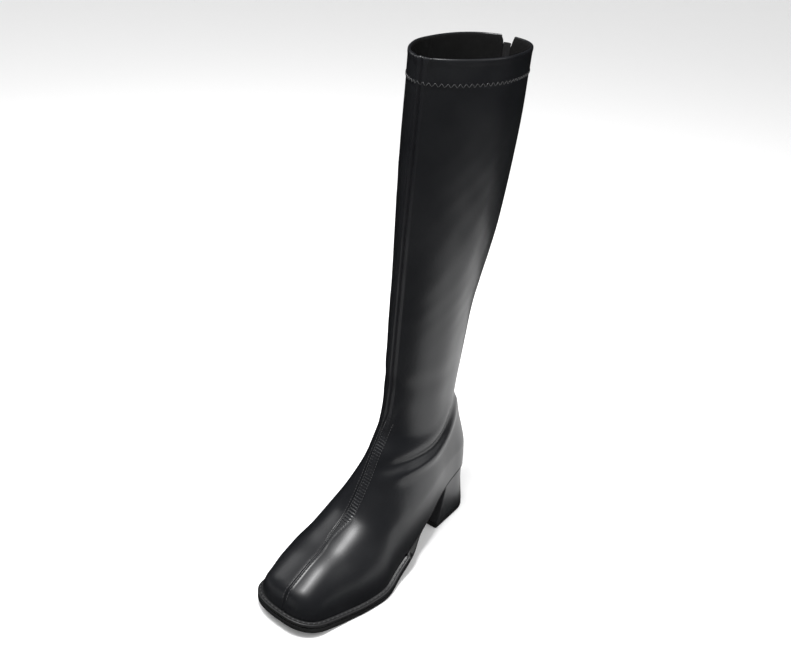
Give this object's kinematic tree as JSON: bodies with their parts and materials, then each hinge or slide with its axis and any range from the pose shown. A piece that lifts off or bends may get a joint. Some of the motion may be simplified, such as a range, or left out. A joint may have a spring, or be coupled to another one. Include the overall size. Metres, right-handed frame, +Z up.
{
  "type": "knee-high boot",
  "caption": "Left knee-high boot: square toe, block heel, centre-front seam, welt round the forefoot, back zip with a hanging pull tab, open at the collar.",
  "frame": {"origin": "centre of the heel's bottom face, on the ground", "axes": "+Z up along the shaft, -Y towards the toe, +X towards the outer side"},
  "size_m": [0.096, 0.2549, 0.4475],
  "materials": {
    "upper": "smooth black leather, satin gloss",
    "heel_block": "block covered in the upper's black leather",
    "welt": "black welt strip, stitched",
    "outsole": "black moulded rubber",
    "heel_top_piece": "black rubber",
    "insole": "dark board under a dark sock",
    "zip_tape": "black tape with a closed coil",
    "zip_slider": "black lacquer",
    "zip_pull": "black lacquer"
  },
  "bodies": {
    "boot": {"upper": "upper", "heel_block": "heel_block", "welt": "welt", "outsole": "outsole", "heel_top_piece": "heel_top_piece", "insole": "insole", "zip_tape": "zip_tape", "zip_slider": "zip_slider"},
    "pull": {"zip_pull": "zip_pull"}
  },
  "joints": [
    {"name": "zip_pull_hinge", "type": "hinge", "parent": "boot", "child": "pull", "pos_m": [0.00316, 0.03414, 0.42846], "axis": [1, 0, 0], "range_deg": [0, 160]}
  ]
}
